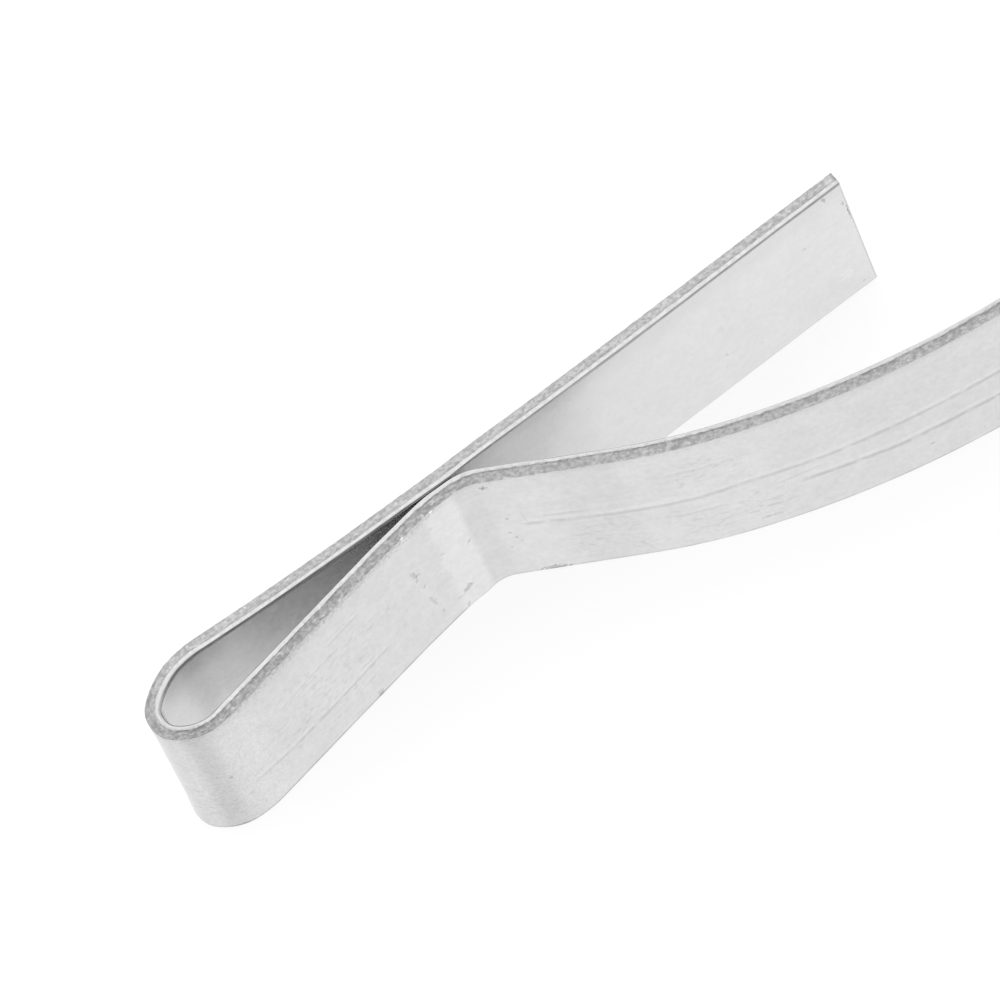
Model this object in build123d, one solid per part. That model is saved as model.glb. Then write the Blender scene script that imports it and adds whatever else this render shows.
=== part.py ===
"""A flat spring clip: one strip of spring steel, bent in plan and standing on its sheared edge.

The strip runs from the tip of a straight leg, past the pinch, round a flattened loop, back up a lower
leg to a crest that bears on the straight leg, and away along a curved leg. The bend line is drawn on the
strip's outer face, which is the outside of the loop. The metal lies on the loop's inner side of it.

The layout frame has its origin at the pinch, on the straight leg's outer face: +X towards the leg's tip,
+Y out of that face and +Z across the strip. The finished clip is moved so that its origin is the middle
of its footprint, at the height of the edge it stands on. Lengths are in mm and angles in degrees.
"""
import os
from math import asin, atan2, degrees, hypot, radians

from build123d import *

# Strip
strip_width = 12.0
strip_thickness = 1.0

# Sheared edges: rolled over on the inner face, then a smooth cut band, then a fracture that leans in
rollover_radius = 0.16
smooth_band = 0.22
fracture_lean = 0.05
end_rollover = 0.15

# Straight leg and heel: the leg is straight up to the pinch and bows slightly from there to the loop
grip_length = 29.7
heel_length = 17.7
heel_bow = 4.0

# Loop, from the heel round to the lower leg, with radii on the inner face
shoulder_radius = 5.0
shoulder_turn = 50.5
nose_radius = 1.05
nose_turn = 86.4
belly_radius = 2.55

# Crest where the lower leg meets the straight leg, with the fold's radius on its hollow side
pinch_gap = 0.05
ease_radius = 48.0
ease_end_angle = 2.7
crease_radius = 2.05

# Curved leg: a flat run down from the crest, a slight knee and a long curve back up
drop_angle = 31.9
drop_length = 8.3
knee_radius = 42.0
knee_turn = 8.5
sweep_radius = 65.2
sweep_length = 22.2


def left_of(heading):
    """The unit vector to the left of a heading."""
    return Vector(1, 0).rotate(Axis.Z, heading + 90)


def crossing_heading(first_centre, first_radius, second_centre, second_radius):
    """The heading of the line that leaves the first circle and runs onto the far side of the second."""
    gap = second_centre - first_centre
    return degrees(atan2(gap.Y, gap.X) + asin((first_radius + second_radius) / hypot(gap.X, gap.Y)))


def straight_after(piece, length):
    """A straight run that carries on from a piece of the bend line."""
    return Line(piece @ 1, piece @ 1 + (piece % 1) * length)


def bend_after(piece, radius, turn):
    """An arc that carries on from a piece of the bend line, to the left for a positive turn."""
    return JernArc(start=piece @ 1, tangent=piece % 1, radius=radius, arc_size=turn)


def bend_line():
    """The strip's outer face in plan, from the straight leg's tip to the curved leg's end."""
    with BuildLine() as line:
        straight_leg = Line((grip_length, 0), (0, 0))
        heel = bend_after(straight_leg, heel_length / radians(heel_bow), -heel_bow)
        shoulder = bend_after(heel, shoulder_radius + strip_thickness, shoulder_turn)
        nose = bend_after(shoulder, nose_radius + strip_thickness, nose_turn)

        # The belly's circle hangs from the nose, and the ease's from the crest at the straight leg
        belly_start = 180 - heel_bow + shoulder_turn + nose_turn
        belly_reach = belly_radius + strip_thickness
        belly_centre = nose @ 1 + left_of(belly_start) * belly_reach
        crease_centre = Vector(0, -2 * strip_thickness - pinch_gap - crease_radius)
        ease_centre = crease_centre - left_of(ease_end_angle) * (ease_radius - crease_radius)

        # The lower leg is the line from one circle to the other
        rise = crossing_heading(belly_centre, belly_reach, ease_centre, ease_radius)
        belly_end = belly_centre - left_of(rise) * belly_reach
        ease_start = ease_centre + left_of(rise) * ease_radius

        belly = bend_after(nose, belly_reach, rise + 360 - belly_start)
        lower_leg = straight_after(belly, (ease_start - belly_end).length)
        ease = bend_after(lower_leg, ease_radius, ease_end_angle - rise)
        crease = bend_after(ease, crease_radius, -ease_end_angle - drop_angle)

        drop = straight_after(crease, drop_length)
        knee = bend_after(drop, knee_radius, knee_turn)
        bend_after(knee, sweep_radius, degrees(sweep_length / sweep_radius))
    return line.wire()


def strip_section():
    """The strip's true cross-section at the tip: X into the metal from the outer face, Y up the width."""
    middle = strip_width / 2
    burr_corner = (0, middle - fracture_lean)
    cut_corner = (strip_thickness - rollover_radius - smooth_band, middle)
    rolled_corner = (strip_thickness, middle)
    upper_half = [burr_corner, cut_corner, rolled_corner]
    lower_half = [(depth, -height) for depth, height in reversed(upper_half)]

    with BuildSketch(Plane(origin=(grip_length, 0, middle), x_dir=(0, -1, 0), z_dir=(-1, 0, 0))) as section:
        with BuildLine():
            Polyline(*upper_half, *lower_half, close=True)
        make_face()
        inner_corners = section.vertices().sort_by(Axis.X)[-2:]
        fillet(inner_corners, rollover_radius)
    return section.sketch


def end_corner(strip, corner):
    """The edge that stands on a corner of the plan, where the inner face meets a cut end."""
    return strip.edges().filter_by(Axis.Z).sort_by_distance(corner + Vector(0, 0, strip_width / 2))[0]


def spring_clip():
    """The whole strip, with the shear's rollover where the inner face meets both cut ends."""
    line = bend_line()
    strip = sweep(sections=strip_section(), path=line)
    tip_corner = Vector(grip_length, -strip_thickness)
    curved_corner = line @ 1 + (line % 1).rotate(Axis.Z, 90) * strip_thickness
    return fillet([end_corner(strip, tip_corner), end_corner(strip, curved_corner)], end_rollover)


clip = spring_clip()
footprint = clip.bounding_box()
clip = clip.moved(Location((-footprint.center().X, -footprint.center().Y, -footprint.min.Z)))

os.makedirs("parts", exist_ok=True)
export_step(clip, "parts/spring_clip.step")
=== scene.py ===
"""Dresses the flat spring clip: one strip of satin steel with torn and burnished sheared edges.

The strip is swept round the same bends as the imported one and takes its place. Places on it are in mm: along
it from the straight leg's tip, across it from the edge it stands on, and through it from its outer face. The
mesh holds them as the attribute "strip", which the materials read.

In the tables, a step is where a size starts and ends to change, and the size before and after it. A band is
where a size starts and ends, how far it fades beyond both, and the size.
"""
from math import asin, atan2, ceil, cos, hypot, pi, radians, sin, sqrt

import bpy
from mathutils import Matrix, Vector, noise


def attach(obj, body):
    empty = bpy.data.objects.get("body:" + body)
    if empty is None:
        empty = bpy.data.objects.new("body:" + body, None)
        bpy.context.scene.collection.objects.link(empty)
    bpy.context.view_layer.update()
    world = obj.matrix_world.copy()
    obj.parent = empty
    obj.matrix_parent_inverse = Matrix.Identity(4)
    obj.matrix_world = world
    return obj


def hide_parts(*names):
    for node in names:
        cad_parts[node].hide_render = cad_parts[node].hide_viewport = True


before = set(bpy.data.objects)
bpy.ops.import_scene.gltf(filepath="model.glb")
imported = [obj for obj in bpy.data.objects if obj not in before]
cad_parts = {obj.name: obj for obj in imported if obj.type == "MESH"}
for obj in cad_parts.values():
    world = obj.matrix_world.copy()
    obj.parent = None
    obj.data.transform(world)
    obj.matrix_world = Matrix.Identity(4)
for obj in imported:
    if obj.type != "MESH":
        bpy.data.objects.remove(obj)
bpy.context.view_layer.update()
mm = 0.001

# Strip, in mm, as in the part's source
strip_width = 12.0
strip_thickness = 1.0
fracture_lean = 0.05
end_rollover = 0.15

# Bends of the strip's outer face, in mm and degrees, as in the part's source
grip_length = 29.7
heel_length = 17.7
heel_bow = 4.0
shoulder_radius = 5.0
shoulder_turn = 50.5
nose_radius = 1.05
nose_turn = 86.4
belly_radius = 2.55
pinch_gap = 0.05
ease_radius = 48.0
ease_end_angle = 2.7
crease_radius = 2.05
drop_angle = 31.9
drop_length = 8.3
knee_radius = 42.0
knee_turn = 8.5
sweep_radius = 65.2
sweep_length = 22.2

# Mesh: distances between its rows in mm, how many rows, and the least corner in degrees that stays sharp
station_step = 0.122
first_station = 0.2
edge_row = 0.1
face_rows = 30
rollover_steps = 5
sharp_corner = 35.0

# Rows of a sheared edge, as shares of its torn band and of the smooth band beside it
torn_places = (0.0, 0.09, 0.22, 0.36, 0.5, 0.64, 0.78, 0.9, 1.0)
smooth_places = (0.5, 1.0)

# Torn band, in mm: how far it lies below its plane, and the height and size of its grain
tear_depth = 0.02
tear_relief = 0.05
grain_size = 0.24

# Its grain: middle, squash through the strip, and share, scale and seed of its coarse and its fine part
grain_middle = 0.5
grain_squash = 1.4
grain_parts = ((0.55, 1.0, 3.0), (0.3, 2.3, 5.0))

# How steeply it sinks from a clean burr and from a torn one, and comes up again at the smooth band
clean_burr_slope = 3.0
torn_burr_slope = 8.0
smooth_slope = 8.0

# Burr on the outer edge, in mm, its share where the shear cut cleanly, and its least share on the lower edge
burr_height = 0.05
burr_lean = 0.06
clean_burr = 0.2
least_lower_burr = 0.7

# The shear cut cleanly up to the first of these places along the strip, and tore from the second one on
clean_until = 54.0
torn_from = 62.0

# Unevenness along the strip: frequency per mm, share, and two seeds, the first of which tells the edges apart
burr_waves = ((2.3, 1.0, 5.0, 0.0), (4.3, 0.6, 0.0, 9.0))
lean_waves = ((1.9, 1.0, 7.0, 4.0), (4.1, 0.6, 1.0, 3.0))
cut_waves = ((0.9, 1.0, 4.0, 2.0), (2.9, 0.7, 1.0, 5.0))
burr_contrast = 1.6
lean_contrast = 1.2
lean_middle = 0.2

# Rollover, in mm: place along the strip, width and depth
rollover_sizes = (
    (0.0, 0.15, 0.13),
    (8.0, 0.12, 0.13),
    (25.0, 0.12, 0.16),
    (27.5, 0.12, 0.14),
    (29.5, 0.08, 0.06),
    (31.0, 0.11, 0.07),
    (34.0, 0.17, 0.12),
    (38.0, 0.18, 0.12),
    (43.0, 0.13, 0.11),
    (47.0, 0.15, 0.10),
    (49.0, 0.27, 0.12),
    (51.0, 0.30, 0.12),
    (53.0, 0.31, 0.13),
    (56.0, 0.26, 0.20),
    (58.0, 0.22, 0.20),
    (61.0, 0.15, 0.12),
    (75.0, 0.11, 0.10),
    (78.0, 0.08, 0.06),
    (82.5, 0.08, 0.06),
    (85.0, 0.16, 0.18),
)

# Line where the smooth band starts, in mm: place along the strip, depth from the outer face and wander
cut_lines = (
    (20.0, 0.65, 0.03),
    (46.0, 0.64, 0.04),
    (48.7, 0.58, 0.03),
    (53.3, 0.58, 0.03),
    (55.0, 0.62, 0.03),
    (60.0, 0.65, 0.05),
    (79.0, 0.68, 0.06),
    (81.2, 0.74, 0.06),
    (83.2, 0.70, 0.06),
    (100.0, 0.67, 0.06),
)

# How far the real strip strays from its round bends, in mm: place along it and shift towards its inner side
strays = (
    (0.0, -0.06),
    (4.0, -0.05),
    (8.5, -0.01),
    (12.5, 0.03),
    (17.0, 0.055),
    (22.5, 0.055),
    (27.0, 0.01),
    (29.8, 0.03),
    (33.0, 0.0),
    (48.2, 0.0),
    (50.0, -0.07),
    (52.6, -0.10),
    (54.2, 0.0),
    (74.0, 0.0),
    (77.0, 0.07),
    (79.2, -0.07),
    (80.2, 0.0),
    (86.0, 0.0),
    (96.0, -0.03),
    (112.0, -0.03),
    (116.0, 0.0),
)

# How far its lower edge strays beyond that where the strip leans, as above
lower_strays = (
    (58.6, 0.0),
    (60.1, -0.12),
    (66.0, -0.10),
    (77.6, -0.12),
    (78.9, 0.03),
    (80.2, 0.0),
)

# Flared edges of the tight bend, in mm: how far the middle is drawn in, their width, and where they flare
nose_sink = 0.05
flare_width = 3.2
flare_start = (48.0, 53.0)
flare_end = (62.0, 57.0)

# Noises of the steel: frequency per mm along, across and through the strip, then detail and roughness
blotch_noise = ((0.3, 0.3, 1.0), 2.0)
cloud_noise = ((1.0, 0.8, 1.0), 2.0)
grain_noise = ((4.5, 5.5, 1.0), 2.0)
peel_noise = ((2.8, 1.9, 1.0), 3.0, 0.6)
line_noise = ((0.2, 4.0, 1.0), 3.0)
ragged_noise = ((5.0, 4.0, 1.0), 3.0)
dash_noise = ((2.0, 2.8, 1.0), 2.0)
patch_noise = ((0.5, 0.6, 2.0), 1.0)
scratch_noise = ((1.1, 0.8, 0.0), 3.0)
foot_noise = ((0.5, 0.0, 1.0), 3.0)
blade_noise = ((7.0, 1.0, 0.8), 2.0)
fleck_noise = ((2.4, 2.0, 3.0), 3.0)
torn_noise = ((3.4, 3.8, 4.8), 3.0, 0.6)
flake_noise = ((2.0, 2.8, 5.0), 2.0)
grit_noise = ((7.0, 7.0, 8.0), 2.0)
rollover_noise = ((1.2, 4.0, 4.0), 2.0)

# Range that most of a noise lies in
noise_range = (0.3, 0.7)

# Rolled faces: their greys, and where through the strip the outer one gives way to the inner one
outer_tone = 0.748
inner_tone = 0.775
face_change = (0.4, 0.6)

# Their roughness, the depth of their bumps in mm, and the shares of lines, peel and pits in it
rolled_roughness = (0.18, 0.25)
rolled_relief = 0.003
line_relief = 0.15
peel_relief = 0.6
pit_relief = -0.5

# Their mottle: how far each noise swings the grey, the loop's grainy band, and the calmer straight leg's step
blotch_swing = 0.013
cloud_swing = 0.013
grain_swing = 0.035
peel_swing = 0.024
line_swing = 0.006
grainy_loop = (52.0, 60.0, 4.0, 1.0)
calm_leg = (30.0, 44.0, 0.35, 0.0)

# Pits in some cells of a pattern: its frequency per mm, steps of their edge and number, and their darkness
pit_scale = (0.8, 0.9, 2.0)
pit_edge = (0.03, 0.09, 1.0, 0.0)
pit_choice = (0.55, 0.6, 0.0, 1.0)
pit_darkness = 0.1

# Dark line along the foot of both faces: its step across them, its uneven darkness, and a darker band
foot_line = (0.08, 0.24, 1.0, 0.0)
foot_darkness = (0.4, 0.6, 0.04, 0.14)
dark_foot_band = (57.0, 76.0, 1.0, 0.12)

# Bands along the outer face that bending has darkened or cleaned round the nose, and bands of painted shade
# and painted highlight round the crease
bend_dulling_and_crease_shade = (
    (51.0, 64.0, 2.0, 0.022),
    (51.0, 55.0, 1.0, 0.035),
    (54.8, 58.2, 2.0, 0.05),
    (57.0, 57.4, 1.1, 0.10),
    (58.0, 60.5, 1.5, -0.02),
    (78.8, 79.9, 0.5, 0.031),
    (76.6, 78.2, 0.7, -0.068),
    (81.0, 83.0, 0.6, -0.015),
    (85.2, 88.0, 1.2, 0.03),
)

# Steps of its darkening: all the way up, near the burr, and along the curved leg
upward_shade = (0.0, 11.0, 0.0, 0.03)
upper_shade = (11.0, 12.0, 0.0, 0.03)
curved_leg_shade = (94.0, 104.0, 0.0, 0.028)

# Thin dark line below its burr: its step across the face, and the steps of its darkness along it
burr_line = (11.8, 11.97, 0.0, 1.0)
burr_line_steps = ((84.0, 98.0, 0.0, 0.10), (55.0, 57.0, 0.10, 0.0))

# Fringe where the torn band frays into it: reach in mm, step across the face, and darkness along it
fray_reach = 0.84
fray_step = (11.3, 12.1, 0.0, 1.0)
fray_band = (60.5, 76.5, 2.0, 0.12)
least_fray = 0.03

# Broad shade under the lower leg's fringe: its band along the face and its step across it
lower_leg_band = (60.0, 70.0, 2.0, 1.0)
lower_leg_shade = (9.6, 11.2, 0.0, 0.035)

# Scratches on the outer face: darkness, half width and points, in mm along the strip and across it
outer_scratches = (
    (0.12, 0.30, ((82.3, 6.05), (87.2, 5.6), (92.5, 5.6), (95.7, 5.9), (100.7, 5.75), (104.7, 5.9),
                  (117.0, 6.05))),
    (-0.03, 0.18, ((87.6, 6.05), (91.2, 6.35))),
    (0.07, 0.20, ((83.2, 6.75), (85.3, 6.6))),
    (0.15, 0.32, ((99.2, 3.95), (104.8, 3.55), (109.0, 3.6), (117.0, 3.3))),
    (0.10, 0.26, ((60.0, 3.7), (62.5, 3.4), (66.4, 3.4), (70.2, 3.6))),
    (0.06, 0.20, ((97.4, 4.6), (99.6, 4.9))),
    (0.06, 0.20, ((63.0, 7.9), (67.0, 8.2))),
    (0.07, 0.22, ((67.6, 9.2), (69.4, 9.25))),
    (0.06, 0.22, ((91.0, 3.9), (93.4, 3.95))),
    (0.06, 0.24, ((91.2, 9.0), (94.6, 9.05))),
)

# A scratch's raised lip, as shares of its width and darkness, its fade at both ends in mm, and its faint gaps
lip_place = 1.3
lip_share = 0.3
scratch_fade = 0.8
scratch_gaps = (0.36, 0.5, 0.3, 1.0)

# Marks on the outer face: darkness, place along and across and half sizes in mm, and turn in degrees
outer_marks = (
    (0.15, (74.15, 7.75), (0.55, 0.15), 100),
    (0.15, (74.25, 7.0), (0.35, 0.10), 75),
    (0.12, (74.5, 7.35), (0.22, 0.08), 120),
    (0.16, (74.5, 5.75), (0.20, 0.12), 80),
    (0.11, (74.65, 3.6), (0.80, 0.16), 102),
    (0.12, (74.95, 1.9), (0.25, 0.10), 80),
    (0.24, (77.0, 1.95), (0.45, 0.28), 32),
    (0.06, (76.3, 1.7), (0.50, 0.10), -30),
    (0.07, (76.4, 7.1), (0.45, 0.10), -40),
    (0.10, (76.45, 10.3), (0.18, 0.12), 90),
    (0.16, (78.25, 6.25), (0.24, 0.14), 60),
    (0.30, (80.45, 11.3), (0.22, 0.20), -20),
    (0.18, (80.97, 7.05), (0.18, 0.13), 60),
    (0.10, (81.2, 7.5), (0.12, 0.08), 0),
    (0.14, (80.8, 5.3), (0.14, 0.10), 90),
    (0.18, (81.1, 4.6), (0.16, 0.12), 90),
    (0.12, (81.3, 4.1), (0.12, 0.10), 90),
    (0.10, (80.55, 3.45), (0.14, 0.11), 90),
    (0.05, (82.0, 7.1), (1.10, 0.12), 93),
    (0.18, (57.95, 5.85), (0.20, 0.13), -20),
    (0.15, (106.65, 2.05), (0.15, 0.14), 0),
    (0.24, (82.6, 0.15), (0.95, 0.30), 0),
    (0.18, (68.9, 0.3), (0.25, 0.25), 0),
    (0.16, (76.6, 0.35), (0.22, 0.14), 60),
    (0.10, (96.2, 1.1), (0.80, 0.14), 0),
    (0.09, (95.3, 2.15), (0.35, 0.14), 0),
    (0.08, (96.6, 2.3), (0.45, 0.14), 0),
)

# Marks on the inner face, as on the outer one
inner_marks = (
    (0.26, (1.4, 11.7), (0.35, 0.13), 80),
    (0.18, (0.35, 9.9), (0.18, 0.11), 80),
    (0.12, (3.65, 8.2), (0.18, 0.12), 60),
    (0.12, (10.65, 3.6), (0.20, 0.13), 80),
    (0.05, (10.4, 6.6), (0.40, 0.25), 90),
    (0.42, (0.08, 8.7), (0.90, 0.18), 90),
    (-0.05, (1.7, 2.6), (0.50, 0.60), 0),
    (0.10, (0.85, 0.75), (0.14, 0.13), 0),
)

# A mark fades between these shares of its size, and a noise swings its rim by that much either way
mark_core = 0.6
mark_rim = 1.1
ragged_swing = 0.5

# Mottled patches of the outer face: place along and across, and half length and half width, in mm
mottled_patches = (
    ((86.0, 3.2), (3.6, 2.4)),
    ((91.5, 2.6), (3.5, 2.2)),
    ((96.0, 2.8), (2.6, 2.2)),
    ((93.0, 8.8), (3.0, 2.2)),
    ((67.0, 5.5), (6.0, 4.5)),
    ((56.5, 3.0), (3.0, 3.0)),
)

# A patch's core and swing, as a mark's, and the step of its dashes' darkness with their noise
patch_core = 0.3
patch_swing = 0.5
dash_step = (0.5, 0.66, 0.0, 0.07)

# Steps of painted light and shade in the inner face's grey along it
inner_light_and_shade_steps = (
    (1.5, 6.0, -0.02, 0.0),
    (18.8, 22.0, 0.0, -0.072),
    (25.0, 28.0, 0.0, -0.005),
    (34.0, 40.0, 0.0, -0.045),
    (43.8, 46.2, 0.0, 0.065),
    (47.0, 48.4, 0.0, -0.05),
    (48.4, 50.6, 0.0, 0.12),
    (50.6, 54.0, 0.0, 0.03),
)

# Step of the darkness at its cut end, and shades below its upper edge: a step across it and a band along it
inner_end = (0.06, 0.2, 0.1, 0.0)
inner_shades = (
    ((9.5, 11.6, 0.0, 0.04), (0.0, 20.0, 7.0, 1.0)),
    ((10.6, 11.8, 0.0, 0.06), (22.0, 28.0, 6.0, 1.0)),
    ((9.2, 11.8, 0.0, 0.18), (47.5, 50.8, 3.0, 1.0)),
)

# Painted glints of the burr at the outer top edge: places along the strip, half sizes in mm and brightness
glint_places = (74.55, 76.9)
glint_size = (0.11, 0.2, 0.12)
glint_brightness = 0.4

# Smooth band: its greys, how far flecks swing them, and its duller bands and steps along the strip
smooth_tones = (0.68, 0.75)
fleck_swing = 0.06
smooth_dull_bands = ((53.0, 57.0, 1.5, 0.14), (52.8, 53.6, 0.7, 0.07))
smooth_dull_steps = ((70.0, 84.0, 0.0, 0.05), (88.0, 98.0, 0.0, 0.04), (0.05, 0.16, 0.15, 0.0))

# Its roughness, and the depth of its bumps in mm
smooth_roughness = (0.2, 0.3)
smooth_relief = 0.002

# Torn band: steps of its grey along the strip and with its cloudy noise
torn_steps = ((45.0, 60.0, 0.58, 0.46), (74.0, 84.0, 0.0, 0.035), (0.05, 0.16, -0.12, 0.0))
torn_cloud = (0.35, 0.65, -0.085, 0.085)

# Its duller band on the loop, and on the straight leg a shade: a band along the strip and a step through it
torn_dull_band = (52.0, 57.0, 3.0, 0.05)
torn_shade_band = (0.0, 46.0, 4.0, 1.0)
torn_shade = (0.3, 0.52, 0.0, 0.06)

# Its lighter flakes, as a step with their noise, its grit, and the steps of their strength along the strip
flake_step = (0.59, 0.69, 0.0, 1.0)
flake_strengths = ((30.0, 55.0, 0.10, 0.17), (78.0, 88.0, 1.0, 0.5))
grit_swing = 0.06
grit_strength = (20.0, 40.0, 1.0, 0.7)

# A bright chip in it at the straight leg's tip: place and half sizes in mm, brightness, and swing of its rim
chip_place = (0.45, strip_width, 0.45)
chip_size = (0.35, 1.0, 0.3)
chip_brightness = 0.09
chip_swing = 0.3

# Its roughness, and the depth of its bumps in mm
torn_roughness = 0.5
torn_relief = 0.02

# Rollover: its greys, roughness, and the depth of its bumps in mm
rollover_tones = (0.64, 0.73)
rollover_roughness = 0.15
rollover_relief = 0.002

# Steps through the strip by which painted shade darkens it where it faces the loop and clears again, and of
# that painted shade along the strip
rollover_shade = (0.80, 0.94, 0.0, 0.50)
rollover_clear = (0.955, 1.0, 0.0, 0.43)
rollover_shaded = ((18.0, 34.0, 0.1, 1.0), (50.0, 56.0, 1.0, 0.0))
rollover_dull_steps = ((10.0, 18.0, 0.05, 0.0), (57.0, 61.0, 0.0, -0.05))

# Camera, in mm and degrees
camera_target = (-2.76, 9.50, 0.0)
camera_azimuth = -13.45
camera_elevation = 60.0
camera_roll = 25.10
camera_distance = 817.4
camera_lens = 487.2
camera_sensor = 36.0

# Floor: radius in mm, its true colour, and the colour and glow that the camera and the metal see
floor_radius = 1500.0
floor_corners = 128
floor_colour = (0.8, 0.8, 0.8, 1.0)
floor_shown_colour = (0.3, 0.3, 0.3, 1.0)
floor_shown_glow = 0.8

# White sky with a darker patch: its direction, the cosines at which it starts and is full, and its strength
white = (1.0, 1.0, 1.0, 1.0)
dark_side = (-0.15, -0.72, 0.68)
dark_side_edge = (0.45, 0.9)
dark_side_strength = 0.55

# Soft lamps: name, place and size in mm, and power in watts
lamps = (
    ("back_lamp", (200, 800, 1300), 1000, 0.4),
    ("side_lamp", (-1100, -200, 700), 800, 0.4),
)

# Light leaves the narrow wedge between the legs only after many reflections
most_bounces = 20
most_glossy_bounces = 16

# Zones of the strip, which are also the order of its materials
ROLLED, CUT, TORN, ROLLOVER = range(4)

# Directions of the strip's own coordinates
ALONG, ACROSS, THROUGH = range(3)


# Bend line

def left_of(heading):
    """The unit vector to the left of a heading in radians."""
    return Vector((-sin(heading), cos(heading)))


def travel(place, heading, length, turn):
    """Where a run of that length and turn to the left ends, and its heading there."""
    if not turn:
        return place + Vector((cos(heading), sin(heading))) * length, heading
    radius = length / turn
    centre = place + left_of(heading) * radius
    return centre - left_of(heading + turn) * radius, heading + turn


def bend_runs():
    """Length in mm and turn in radians of each run of the strip's outer face, from the straight leg's tip."""
    runs = [(grip_length, 0.0), (heel_length, -radians(heel_bow))]
    for radius, turn in ((shoulder_radius, shoulder_turn), (nose_radius, nose_turn)):
        runs.append(((radius + strip_thickness) * radians(turn), radians(turn)))
    place, heading = Vector((grip_length, 0.0)), pi
    for length, turn in runs:
        place, heading = travel(place, heading, length, turn)

    # The lower leg runs from the belly's circle to the circle of the ease, which hangs from the crest
    reach = belly_radius + strip_thickness
    belly = place + left_of(heading) * reach
    crease = Vector((0.0, -2 * strip_thickness - pinch_gap - crease_radius))
    ease = crease - left_of(radians(ease_end_angle)) * (ease_radius - crease_radius)
    gap = ease - belly
    rise = atan2(gap.y, gap.x) + asin((reach + ease_radius) / hypot(*gap))
    lower_leg = (ease + left_of(rise) * ease_radius) - (belly - left_of(rise) * reach)

    belly_turn = rise + 2 * pi - heading
    ease_turn = rise - radians(ease_end_angle)
    crease_turn = radians(ease_end_angle + drop_angle)
    runs.append((reach * belly_turn, belly_turn))
    runs.append((lower_leg.length, 0.0))
    runs.append((ease_radius * ease_turn, -ease_turn))
    runs.append((crease_radius * crease_turn, -crease_turn))
    runs.append((drop_length, 0.0))
    runs.append((knee_radius * radians(knee_turn), radians(knee_turn)))
    runs.append((sweep_length, sweep_length / sweep_radius))
    return runs


def station_places(whole):
    """How far along the strip each cross-section lies: evenly apart, but for one close to each end."""
    count = ceil((whole - 2 * first_station) / station_step)
    step = (whole - 2 * first_station) / count
    return [0.0] + [first_station + number * step for number in range(count + 1)] + [whole]


def stations(runs):
    """Distance along the strip, place and heading of each cross-section."""
    alongs = station_places(sum(length for length, turn in runs))
    made, place, heading, start = [], Vector((grip_length, 0.0)), pi, 0.0
    for number, (length, turn) in enumerate(runs, 1):
        last = number == len(runs)
        while len(made) < len(alongs) and (last or alongs[len(made)] <= start + length):
            part = (alongs[len(made)] - start) / length
            made.append((alongs[len(made)], *travel(place, heading, length * part, turn * part)))
        place, heading = travel(place, heading, length, turn)
        start += length
    return made


# Sheared strip

def held(value, low=0.0, high=1.0):
    """The value, held between two ends."""
    return min(max(value, low), high)


def share_of(value, low, high):
    """0 up to the low value and 1 from the high one on."""
    return held((value - low) / (high - low))


def eased(share):
    """A share that starts and ends softly."""
    return share * share * (3 - 2 * share)


def sizes_at(knots, along):
    """The sizes at a place along the strip, from a list of places and their sizes."""
    if along <= knots[0][0]:
        return knots[0][1:]
    for (start, *low), (end, *high) in zip(knots, knots[1:]):
        if along <= end:
            share = eased(share_of(along, start, end))
            return [size + (after - size) * share for size, after in zip(low, high)]
    return knots[-1][1:]


def waves_at(waves, along, side):
    """Smooth unevenness at a place along the upper or the lower edge, which are side 1 and -1."""
    return sum(share * noise.noise(Vector((along * frequency, side * edge_seed, seed)))
               for frequency, share, edge_seed, seed in waves)


def tear(along, depth, side):
    """How far the torn band's grain lies below its plane, in mm."""
    grain = grain_middle
    for share, scale, seed in grain_parts:
        place = Vector((along, depth * grain_squash, side * seed)) / grain_size * scale
        grain += share * noise.noise(place)
    return tear_relief * held(grain)


def past_loop(along):
    """0 where the shear cut cleanly, on the straight leg and into the loop, and 1 where it tore."""
    return share_of(along, clean_until, torn_from)


def burr(along, side):
    """How far the ragged outer edge stands up, or falls short, and how far it leans in, in mm."""
    loose = clean_burr + (1 - clean_burr) * past_loop(along)
    raised = burr_height * loose * held(burr_contrast * waves_at(burr_waves, along, side), low=-1.0)
    if side < 0:
        return max(raised, least_lower_burr * burr_height * past_loop(along)), 0.0
    leant = held(lean_middle + lean_contrast * waves_at(lean_waves, along, side))
    return raised, burr_lean * loose * leant


def sink(along, height):
    """How far the strip is drawn in at that height above its middle, inside its flared edges, in mm."""
    bend = share_of(along, *flare_start) * share_of(along, *flare_end)
    return nose_sink * eased(bend) * eased(share_of(strip_width / 2 - abs(height), 0.0, flare_width))


def edge_points(along, side):
    """Depth and height above the strip's middle of a sheared edge's points, from burr to rollover."""
    top = strip_width / 2
    cut, wander = sizes_at(cut_lines, along)
    cut += wander * waves_at(cut_waves, along, side)
    width, drop = sizes_at(rollover_sizes, along) if side > 0 else rollover_sizes[0][1:]
    arc = strip_thickness - width
    raised, leant = burr(along, side)
    burr_slope = torn_burr_slope if past_loop(along) else clean_burr_slope

    points = [(leant, top - fracture_lean + raised)]
    for place in torn_places[1:-1]:
        sunk = tear_depth * min(1.0, (1 - place) * smooth_slope) + tear(along, place * cut, side)
        sunk *= min(1.0, place * burr_slope)
        points.append((leant + (cut - leant) * place, top - fracture_lean * (1 - place) - sunk))
    points.append((cut, top))
    points += [(cut + (arc - cut) * place, top) for place in smooth_places]
    for step in range(1, rollover_steps + 1):
        angle = pi / 2 * step / rollover_steps
        points.append((arc + width * sin(angle), top - drop * (1 - cos(angle))))
    return points


def edge_zones():
    """The zone of the metal between each two of a sheared edge's points."""
    return [TORN] * (len(torn_places) - 1) + [CUT] * len(smooth_places) + [ROLLOVER] * rollover_steps


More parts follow.
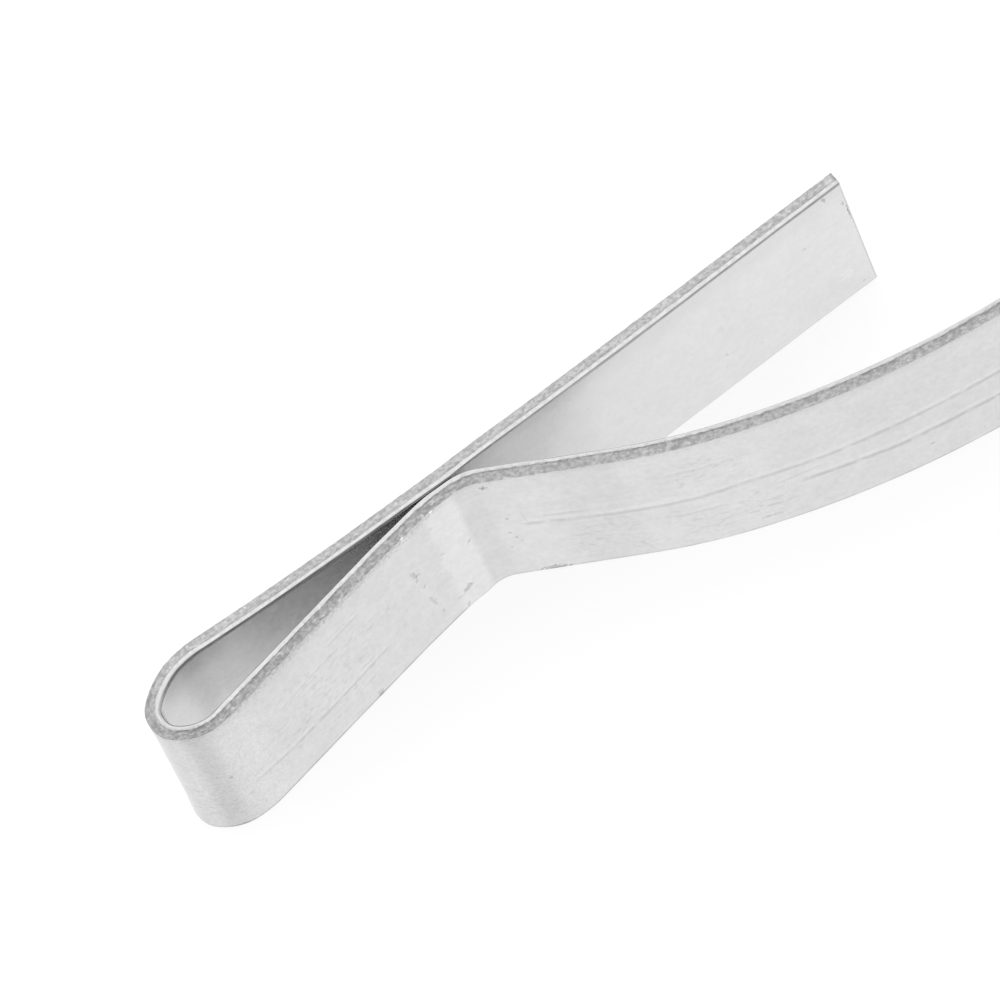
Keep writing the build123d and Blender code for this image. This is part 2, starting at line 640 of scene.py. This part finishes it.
def section(along):
    """The section's points as a lattice: columns through the strip, each from the lower to the upper edge."""
    lattice = []
    for (depth, height), (low_depth, low_height) in zip(edge_points(along, 1), edge_points(along, -1)):
        column = []
        for row in range(face_rows + 1):
            share = 1.0 if row == face_rows else min(row / (face_rows - 1), 1 - edge_row / strip_width)
            through = low_depth + (depth - low_depth) * share
            if not lattice and row < face_rows:
                through = 0.0
            column.append((through, (height + low_height) * share - low_height))
        lattice.append(column)
    return lattice


def end_relief(depth):
    """How far the cut end is rounded back at that depth, in mm."""
    into = depth - (strip_thickness - end_rollover)
    return end_rollover - sqrt(max(end_rollover ** 2 - into ** 2, 0.0)) if into > 0 else 0.0


def strip_points(rows, columns):
    """The surface's points, their places on the strip, and their numbers by column, row and cross-section."""
    last = len(rows) - 1
    points, places, index = [], [], {}
    for k, (along, place, heading) in enumerate(rows):
        across = left_of(heading)
        ahead = Vector((cos(heading), sin(heading)))
        stray = sizes_at(strays, along)[0]
        lean = sizes_at(lower_strays, along)[0]
        for i, column in enumerate(section(along)):
            for j, (depth, height) in enumerate(column):
                if 0 < k < last and 0 < i < columns and 0 < j < face_rows:
                    continue
                back = end_relief(depth) * ((k == 0) - (k == last))
                shift = stray + lean * (0.5 - height / strip_width) + sink(along, height)
                point = place + across * (depth + shift) + ahead * back
                index[i, j, k] = len(points)
                points.append((point.x, point.y, height + strip_width / 2))
                places.append((along + back, height + strip_width / 2, depth))
    return points, places, index


def strip_faces(index, columns, last):
    """The corners and zones of the mesh's faces, on both rolled faces, both sheared edges and both ends."""
    faces, zones = [], []
    top = face_rows

    def wall(corners, zone):
        faces.append([index[corner] for corner in corners])
        zones.append(zone)

    for k in range(last):
        for j in range(top):
            wall(((0, j, k), (0, j, k + 1), (0, j + 1, k + 1), (0, j + 1, k)), ROLLED)
            wall(((columns, j, k), (columns, j + 1, k), (columns, j + 1, k + 1), (columns, j, k + 1)), ROLLED)
        for i, zone in enumerate(edge_zones()):
            wall(((i, 0, k), (i + 1, 0, k), (i + 1, 0, k + 1), (i, 0, k + 1)), zone)
            wall(((i, top, k), (i, top, k + 1), (i + 1, top, k + 1), (i + 1, top, k)), zone)
    for i, zone in enumerate(edge_zones()):
        for j in range(top):
            wall(((i, j, 0), (i, j + 1, 0), (i + 1, j + 1, 0), (i + 1, j, 0)), zone)
            wall(((i, j, last), (i + 1, j, last), (i + 1, j + 1, last), (i, j + 1, last)), zone)
    return faces, zones


def strip_mesh():
    """The strip as one closed mesh in metres, its origin moved to the middle of its footprint."""
    rows = stations(bend_runs())
    columns = len(edge_zones())
    points, places, index = strip_points(rows, columns)
    faces, zones = strip_faces(index, columns, len(rows) - 1)

    middle = [(min(point[axis] for point in points) + max(point[axis] for point in points)) / 2
              for axis in (0, 1)]
    moved = [((x - middle[0]) * mm, (y - middle[1]) * mm, z * mm) for x, y, z in points]
    mesh = bpy.data.meshes.new("spring_strip")
    mesh.from_pydata(moved, [], faces)
    mesh.polygons.foreach_set("material_index", zones)
    mesh.polygons.foreach_set("use_smooth", [zone != TORN for zone in zones])
    strip = mesh.attributes.new("strip", "FLOAT_VECTOR", "POINT")
    strip.data.foreach_set("vector", [number for place in places for number in place])
    mesh.set_sharp_from_angle(angle=radians(sharp_corner))
    mesh.update()
    return mesh


# Nodes

def put(tree, kind, values=None, **settings):
    """A node of that kind with its settings, and its sockets set to a value or linked to an output."""
    made = tree.nodes.new(kind)
    for name, setting in settings.items():
        setattr(made, name, setting)
    for socket, value in (values or {}).items():
        if isinstance(value, bpy.types.NodeSocket):
            tree.links.new(value, made.inputs[socket])
        else:
            made.inputs[socket].default_value = value
    return made


def calc(tree, operation, first, second, clamp=False):
    """The output of a Math node."""
    made = put(tree, "ShaderNodeMath", {0: first, 1: second}, operation=operation, use_clamp=clamp)
    return made.outputs[0]


def total(tree, parts):
    """The sum of several outputs and values."""
    whole = parts[0]
    for part in parts[1:]:
        whole = calc(tree, "ADD", whole, part)
    return whole


def product(tree, parts):
    """The product of several outputs and values."""
    whole = parts[0]
    for part in parts[1:]:
        whole = calc(tree, "MULTIPLY", whole, part)
    return whole


def size_of(tree, value):
    """The value without its sign."""
    return put(tree, "ShaderNodeMath", {0: value}, operation="ABSOLUTE").outputs[0]


def remap(tree, value, low, high, new_low, new_high, shape="SMOOTHSTEP"):
    """The value's range from low to high drawn out to a new range, and held at its ends."""
    ranges = {"Value": value, "From Min": low, "From Max": high, "To Min": new_low, "To Max": new_high}
    return put(tree, "ShaderNodeMapRange", ranges, interpolation_type=shape).outputs[0]


def steps_of(tree, value, steps):
    """The sum of a table of steps of the value."""
    return total(tree, [remap(tree, value, *step) for step in steps])


def band(tree, value, low, high, fade, size):
    """A size where the value lies between low and high, fading to 0 beyond them."""
    rise = remap(tree, value, low - fade, low, 0.0, 1.0)
    return product(tree, [rise, remap(tree, value, high, high + fade, 1.0, 0.0), size])


def strip_place(tree):
    """The strip's own coordinates in mm."""
    node = tree.nodes.get("strip") or put(tree, "ShaderNodeAttribute", attribute_name="strip", name="strip")
    return node.outputs["Vector"]


def strip_axis(tree, axis):
    """One of the strip's own coordinates in mm."""
    node = tree.nodes.get("axes") or put(tree, "ShaderNodeSeparateXYZ", {0: strip_place(tree)}, name="axes")
    return node.outputs[axis]


def stretched(tree, scales):
    """The strip's own coordinates, drawn out by the scales."""
    values = {0: strip_place(tree), 1: scales}
    return put(tree, "ShaderNodeVectorMath", values, operation="MULTIPLY").outputs[0]


def speckle(tree, scales, detail, roughness=0.5):
    """Noise from 0 to 1 over the strip, with its frequency per mm along, across and through it."""
    values = {"Vector": stretched(tree, scales), "Scale": 1.0, "Detail": detail, "Roughness": roughness}
    return put(tree, "ShaderNodeTexNoise", values, noise_dimensions="3D").outputs["Fac"]


def spread(tree, value, low, high):
    """Noise spread over the range from low to high."""
    return remap(tree, value, *noise_range, low, high)


def swing(tree, value, amount):
    """Noise that swings by that amount either way."""
    return spread(tree, value, -amount, amount)


def spot(tree, ragged, middle, size, amount, core=mark_core, turn=0.0):
    """A ragged spot of that amount round a place in the strip, with half sizes; a size of 0 is endless."""
    values = {"Vector": strip_place(tree), "Location": middle, "Rotation": (0.0, 0.0, radians(turn)),
              "Scale": size}
    scaled = put(tree, "ShaderNodeMapping", values, vector_type="TEXTURE").outputs[0]
    far = put(tree, "ShaderNodeVectorMath", {0: scaled}, operation="LENGTH").outputs["Value"]
    return remap(tree, calc(tree, "ADD", far, ragged), core, mark_rim, amount, 0.0)


def marks(tree, ragged, table):
    """The ragged spots of a table of marks."""
    return [spot(tree, ragged, (*middle, 0.0), (*size, 0.0), amount, turn=turn)
            for amount, middle, size, turn in table]


def scratch(tree, gaps, darkness, width, points):
    """A fine line through points along and across the strip, with a raised lip above it."""
    along = strip_axis(tree, ALONG)
    line = [remap(tree, along, start, end, 0.0, high - low, shape="LINEAR")
            for (start, low), (end, high) in zip(points, points[1:])]
    off = calc(tree, "SUBTRACT", strip_axis(tree, ACROSS), total(tree, line + [points[0][1]]))
    groove = remap(tree, size_of(tree, off), 0.0, width, darkness, 0.0)
    above = calc(tree, "SUBTRACT", off, width * lip_place)
    lip = remap(tree, size_of(tree, above), 0.0, width, darkness * lip_share, 0.0)
    run = band(tree, along, points[0][0], points[-1][0], scratch_fade, 1.0)
    return product(tree, [calc(tree, "SUBTRACT", groove, lip), run, gaps])


def painted_glints(tree, ragged):
    """Painted glints where the burr catches the light at the strip's outer top edge."""
    return total(tree, [spot(tree, ragged, (along, strip_width, 0.0), glint_size, glint_brightness)
                        for along in glint_places])


# Materials

def new_material(name):
    """An empty node material, its tree and its output node."""
    material = bpy.data.materials.new(name)
    material.use_nodes = True
    material.node_tree.nodes.clear()
    return material, material.node_tree, put(material.node_tree, "ShaderNodeOutputMaterial")


def steel_shader(tree, tone, roughness, height, relief, out):
    """A bare metal of that grey, with bumps of that relief in mm."""
    bump = put(tree, "ShaderNodeBump", {"Height": height, "Distance": relief * mm, "Strength": 1.0})
    grey = put(tree, "ShaderNodeCombineColor", {"Red": tone, "Green": tone, "Blue": tone}).outputs[0]
    values = {"Base Color": grey, "Metallic": 1.0, "Roughness": roughness, "Normal": bump.outputs[0]}
    shader = put(tree, "ShaderNodeBsdfPrincipled", values)
    tree.links.new(shader.outputs[0], out.inputs["Surface"])


def face_mottle(tree, peel, lines, inside):
    """Cloudy mottle of the rolled faces, grainy on the loop and calmer on the straight leg's inner face."""
    along = strip_axis(tree, ALONG)
    grain = swing(tree, speckle(tree, *grain_noise), grain_swing)
    mottle = total(tree, [swing(tree, speckle(tree, *blotch_noise), blotch_swing),
                          swing(tree, speckle(tree, *cloud_noise), cloud_swing),
                          product(tree, [grain, band(tree, along, *grainy_loop)]),
                          swing(tree, peel, peel_swing), swing(tree, lines, line_swing)])
    calm = product(tree, [inside, remap(tree, along, *calm_leg)])
    return product(tree, [mottle, calc(tree, "SUBTRACT", 1.0, calm)])


def fine_pits(tree):
    """Small pits in some of the cells of a coarse pattern."""
    cells = put(tree, "ShaderNodeTexVoronoi", {"Vector": stretched(tree, pit_scale), "Scale": 1.0})
    chosen = put(tree, "ShaderNodeSeparateColor", {0: cells.outputs["Color"]}).outputs[0]
    return product(tree, [remap(tree, cells.outputs["Distance"], *pit_edge),
                          remap(tree, chosen, *pit_choice)])


def dashed_patches(tree):
    """Short dark dashes in the outer face's mottled patches."""
    soft = swing(tree, speckle(tree, *patch_noise), patch_swing)
    patches = total(tree, [spot(tree, soft, (*middle, 0.0), (*size, 0.0), 1.0, core=patch_core)
                           for middle, size in mottled_patches])
    dashes = remap(tree, speckle(tree, *dash_noise), *dash_step)
    return product(tree, [dashes, calc(tree, "MINIMUM", patches, 1.0)])


def outer_shade(tree, ragged):
    """The outer face's darkening upwards and along it, and towards the torn band that frays into it."""
    along, across = strip_axis(tree, ALONG), strip_axis(tree, ACROSS)
    frayed = calc(tree, "ADD", across, calc(tree, "MULTIPLY", ragged, fray_reach))
    fray = calc(tree, "ADD", band(tree, along, *fray_band), least_fray)
    return total(tree, [
        remap(tree, across, *upward_shade, shape="LINEAR"),
        remap(tree, across, *upper_shade),
        remap(tree, along, *curved_leg_shade),
        product(tree, [steps_of(tree, along, burr_line_steps), remap(tree, across, *burr_line)]),
        product(tree, [remap(tree, frayed, *fray_step), fray]),
        product(tree, [band(tree, along, *lower_leg_band), remap(tree, across, *lower_leg_shade)])])


def outer_darkness(tree, ragged):
    """Scratches, marks, bands dulled by bending with painted shade and highlight round the crease, shade and
    dashes of the outer face, less its painted glints.
    """
    along = strip_axis(tree, ALONG)
    gaps = remap(tree, speckle(tree, *scratch_noise), *scratch_gaps)
    parts = [scratch(tree, gaps, *one) for one in outer_scratches]
    parts += marks(tree, ragged, outer_marks)
    # Bands dulled by bending round the nose, and painted shade and painted highlight round the crease
    parts += [band(tree, along, *bend) for bend in bend_dulling_and_crease_shade]
    parts += [outer_shade(tree, ragged), dashed_patches(tree)]
    return calc(tree, "SUBTRACT", total(tree, parts), painted_glints(tree, ragged))


def inner_darkness(tree, ragged):
    """Marks on the inner face, its dark cut end, and the shades below its upper edge."""
    along, across = strip_axis(tree, ALONG), strip_axis(tree, ACROSS)
    parts = marks(tree, ragged, inner_marks) + [remap(tree, along, *inner_end)]
    parts += [product(tree, [remap(tree, across, *step), band(tree, along, *run)])
              for step, run in inner_shades]
    return total(tree, parts)


def dark_foot(tree):
    """A dark line of uneven strength along the foot of both faces."""
    uneven = remap(tree, speckle(tree, *foot_noise), *foot_darkness)
    darker_foot = calc(tree, "ADD", uneven, band(tree, strip_axis(tree, ALONG), *dark_foot_band))
    return product(tree, [remap(tree, strip_axis(tree, ACROSS), *foot_line), darker_foot])


def rolled_steel():
    """Satin mill faces, mottled and scratched on the outside and dulled where they are bent, with painted
    shade and highlight round the crease and painted light and shade on the inner face.
    """
    material, tree, out = new_material("rolled_steel")
    depth = strip_axis(tree, THROUGH)
    outside = remap(tree, depth, *face_change, 1.0, 0.0)
    inside = remap(tree, depth, *face_change, 0.0, 1.0)
    ragged = swing(tree, speckle(tree, *ragged_noise), ragged_swing)
    peel = speckle(tree, *peel_noise)
    lines = speckle(tree, *line_noise)
    pits = fine_pits(tree)

    # The inner face's grey, with its steps of painted light and shade
    inner = calc(tree, "ADD", steps_of(tree, strip_axis(tree, ALONG), inner_light_and_shade_steps), inner_tone)
    clean = put(tree, "ShaderNodeMix", {0: inside, 2: outer_tone, 3: inner}).outputs[0]
    tone = calc(tree, "ADD", clean, face_mottle(tree, peel, lines, inside))
    dark = total(tree, [product(tree, [outer_darkness(tree, ragged), outside]),
                        product(tree, [inner_darkness(tree, ragged), inside]),
                        product(tree, [pits, pit_darkness]), dark_foot(tree)])
    tone = calc(tree, "SUBTRACT", tone, dark, clamp=True)
    height = total(tree, [product(tree, [lines, line_relief]), product(tree, [peel, peel_relief]),
                          product(tree, [pits, pit_relief])])
    steel_shader(tree, tone, spread(tree, peel, *rolled_roughness), height, rolled_relief, out)
    return material


def cut_steel():
    """The smooth band that the blade burnished, with fine lines in the direction of its cut."""
    material, tree, out = new_material("cut_steel")
    along = strip_axis(tree, ALONG)
    lines = speckle(tree, *blade_noise)
    flecks = swing(tree, speckle(tree, *fleck_noise), fleck_swing)
    darkening = total(tree, [band(tree, along, *one) for one in smooth_dull_bands])
    darkening = calc(tree, "ADD", darkening, steps_of(tree, along, smooth_dull_steps))
    tone = calc(tree, "SUBTRACT", spread(tree, lines, *smooth_tones), darkening)
    tone = calc(tree, "ADD", tone, flecks)
    steel_shader(tree, tone, spread(tree, lines, *smooth_roughness), lines, smooth_relief, out)
    return material


def torn_steel():
    """The torn band: grey, grainy and dull, with lighter flakes in it."""
    material, tree, out = new_material("torn_steel")
    along, depth = strip_axis(tree, ALONG), strip_axis(tree, THROUGH)
    cloud = speckle(tree, *torn_noise)
    ragged = swing(tree, cloud, chip_swing)
    flakes = remap(tree, speckle(tree, *flake_noise), *flake_step)
    flakes = product(tree, [flakes] + [remap(tree, along, *strength) for strength in flake_strengths])
    grit = swing(tree, speckle(tree, *grit_noise), grit_swing)
    grit = product(tree, [grit, remap(tree, along, *grit_strength)])
    chip = spot(tree, ragged, chip_place, chip_size, chip_brightness)
    # Its grey also holds the burr's painted glints
    bright = total(tree, [steps_of(tree, along, torn_steps), remap(tree, cloud, *torn_cloud), flakes, grit,
                          chip, painted_glints(tree, ragged)])

    shade = product(tree, [band(tree, along, *torn_shade_band), remap(tree, depth, *torn_shade)])
    dark = calc(tree, "ADD", shade, band(tree, along, *torn_dull_band))
    tone = calc(tree, "SUBTRACT", bright, dark, clamp=True)
    steel_shader(tree, tone, torn_roughness, cloud, torn_relief, out)
    return material


def rollover_steel():
    """The rounded shoulder beside the smooth band, with painted shade where it turns into the loop."""
    material, tree, out = new_material("rollover_steel")
    along, depth = strip_axis(tree, ALONG), strip_axis(tree, THROUGH)
    lines = speckle(tree, *rollover_noise)
    # Painted shade where it turns into the loop, clearing towards the inner face
    loop_shade = remap(tree, depth, *rollover_shade, shape="LINEAR")
    loop_shade = calc(tree, "SUBTRACT", loop_shade, remap(tree, depth, *rollover_clear))
    darkening = product(tree, [loop_shade] + [remap(tree, along, *step) for step in rollover_shaded])
    darkening = calc(tree, "ADD", darkening, steps_of(tree, along, rollover_dull_steps))
    tone = calc(tree, "SUBTRACT", spread(tree, lines, *rollover_tones), darkening)
    steel_shader(tree, tone, rollover_roughness, lines, rollover_relief, out)
    return material


def spring_clip():
    """The dressed strip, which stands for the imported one."""
    clip = bpy.data.objects.new("spring_strip", strip_mesh())
    bpy.context.scene.collection.objects.link(clip)
    for material in (rolled_steel(), cut_steel(), torn_steel(), rollover_steel()):
        clip.data.materials.append(material)
    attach(clip, "root")
    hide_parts("spring_clip")


# Studio

def seen_directly(tree):
    """1 for what the camera sees straight or in metal or glass, else 0."""
    path = put(tree, "ShaderNodeLightPath").outputs
    either = calc(tree, "MAXIMUM", path["Is Camera Ray"], path["Is Glossy Ray"])
    return calc(tree, "MAXIMUM", either, path["Is Transmission Ray"])


def floor():
    """A plain pale floor that shows as white and keeps a faint shadow."""
    bpy.ops.mesh.primitive_circle_add(vertices=floor_corners, radius=floor_radius * mm, fill_type="NGON")
    disc = bpy.context.object
    disc.name = "floor"
    material, tree, out = new_material("floor")
    plain = put(tree, "ShaderNodeBsdfDiffuse", {"Color": floor_colour})
    shown = put(tree, "ShaderNodeBsdfDiffuse", {"Color": floor_shown_colour})
    glow = put(tree, "ShaderNodeEmission", {"Color": white, "Strength": floor_shown_glow})
    pale = put(tree, "ShaderNodeAddShader", {0: shown.outputs[0], 1: glow.outputs[0]})
    mix = put(tree, "ShaderNodeMixShader", {0: seen_directly(tree), 1: plain.outputs[0], 2: pale.outputs[0]})
    tree.links.new(mix.outputs[0], out.inputs["Surface"])
    disc.data.materials.append(material)


def sky():
    """White all round, with a darker patch high in front where a photographer would stand."""
    world = bpy.data.worlds.new("studio")
    bpy.context.scene.world = world
    world.use_nodes = True
    tree = world.node_tree
    tree.nodes.clear()
    out = put(tree, "ShaderNodeOutputWorld")
    towards = put(tree, "ShaderNodeTexCoord").outputs["Generated"]
    both = {0: towards, 1: Vector(dark_side).normalized()}
    facing = put(tree, "ShaderNodeVectorMath", both, operation="DOT_PRODUCT").outputs["Value"]
    dimmed = remap(tree, facing, *dark_side_edge, 1.0, dark_side_strength)
    strength = calc(tree, "MAXIMUM", dimmed, put(tree, "ShaderNodeLightPath").outputs["Is Camera Ray"])
    light = put(tree, "ShaderNodeBackground", {"Color": white, "Strength": strength})
    tree.links.new(light.outputs[0], out.inputs["Surface"])


def soft_lamp(name, place, size, power):
    """A square soft lamp that faces the clip, with its place and size in mm."""
    lamp = bpy.data.lights.new(name, "AREA")
    lamp.shape = "SQUARE"
    lamp.size = size * mm
    lamp.energy = power
    made = bpy.data.objects.new(name, lamp)
    made.location = Vector(place) * mm
    made.rotation_euler = (-Vector(place)).to_track_quat("-Z", "Y").to_euler()
    bpy.context.scene.collection.objects.link(made)


def camera():
    """The photograph's camera."""
    lens = bpy.data.cameras.new("camera")
    lens.lens = camera_lens
    lens.sensor_width = camera_sensor
    made = bpy.data.objects.new("camera", lens)
    tilt = Matrix.Rotation(radians(90 - camera_elevation), 4, "X")
    turn = Matrix.Rotation(radians(camera_azimuth), 4, "Z") @ tilt
    roll = Matrix.Rotation(radians(-camera_roll), 4, "Z")
    place = Vector(camera_target) + turn @ Vector((0, 0, camera_distance))
    made.matrix_world = Matrix.Translation(place * mm) @ turn @ roll
    bpy.context.scene.collection.objects.link(made)
    bpy.context.scene.camera = made


spring_clip()
floor()
sky()
for lamp in lamps:
    soft_lamp(*lamp)
camera()
bpy.context.scene.view_settings.view_transform = "Standard"
bpy.context.scene.cycles.max_bounces = most_bounces
bpy.context.scene.cycles.glossy_bounces = most_glossy_bounces
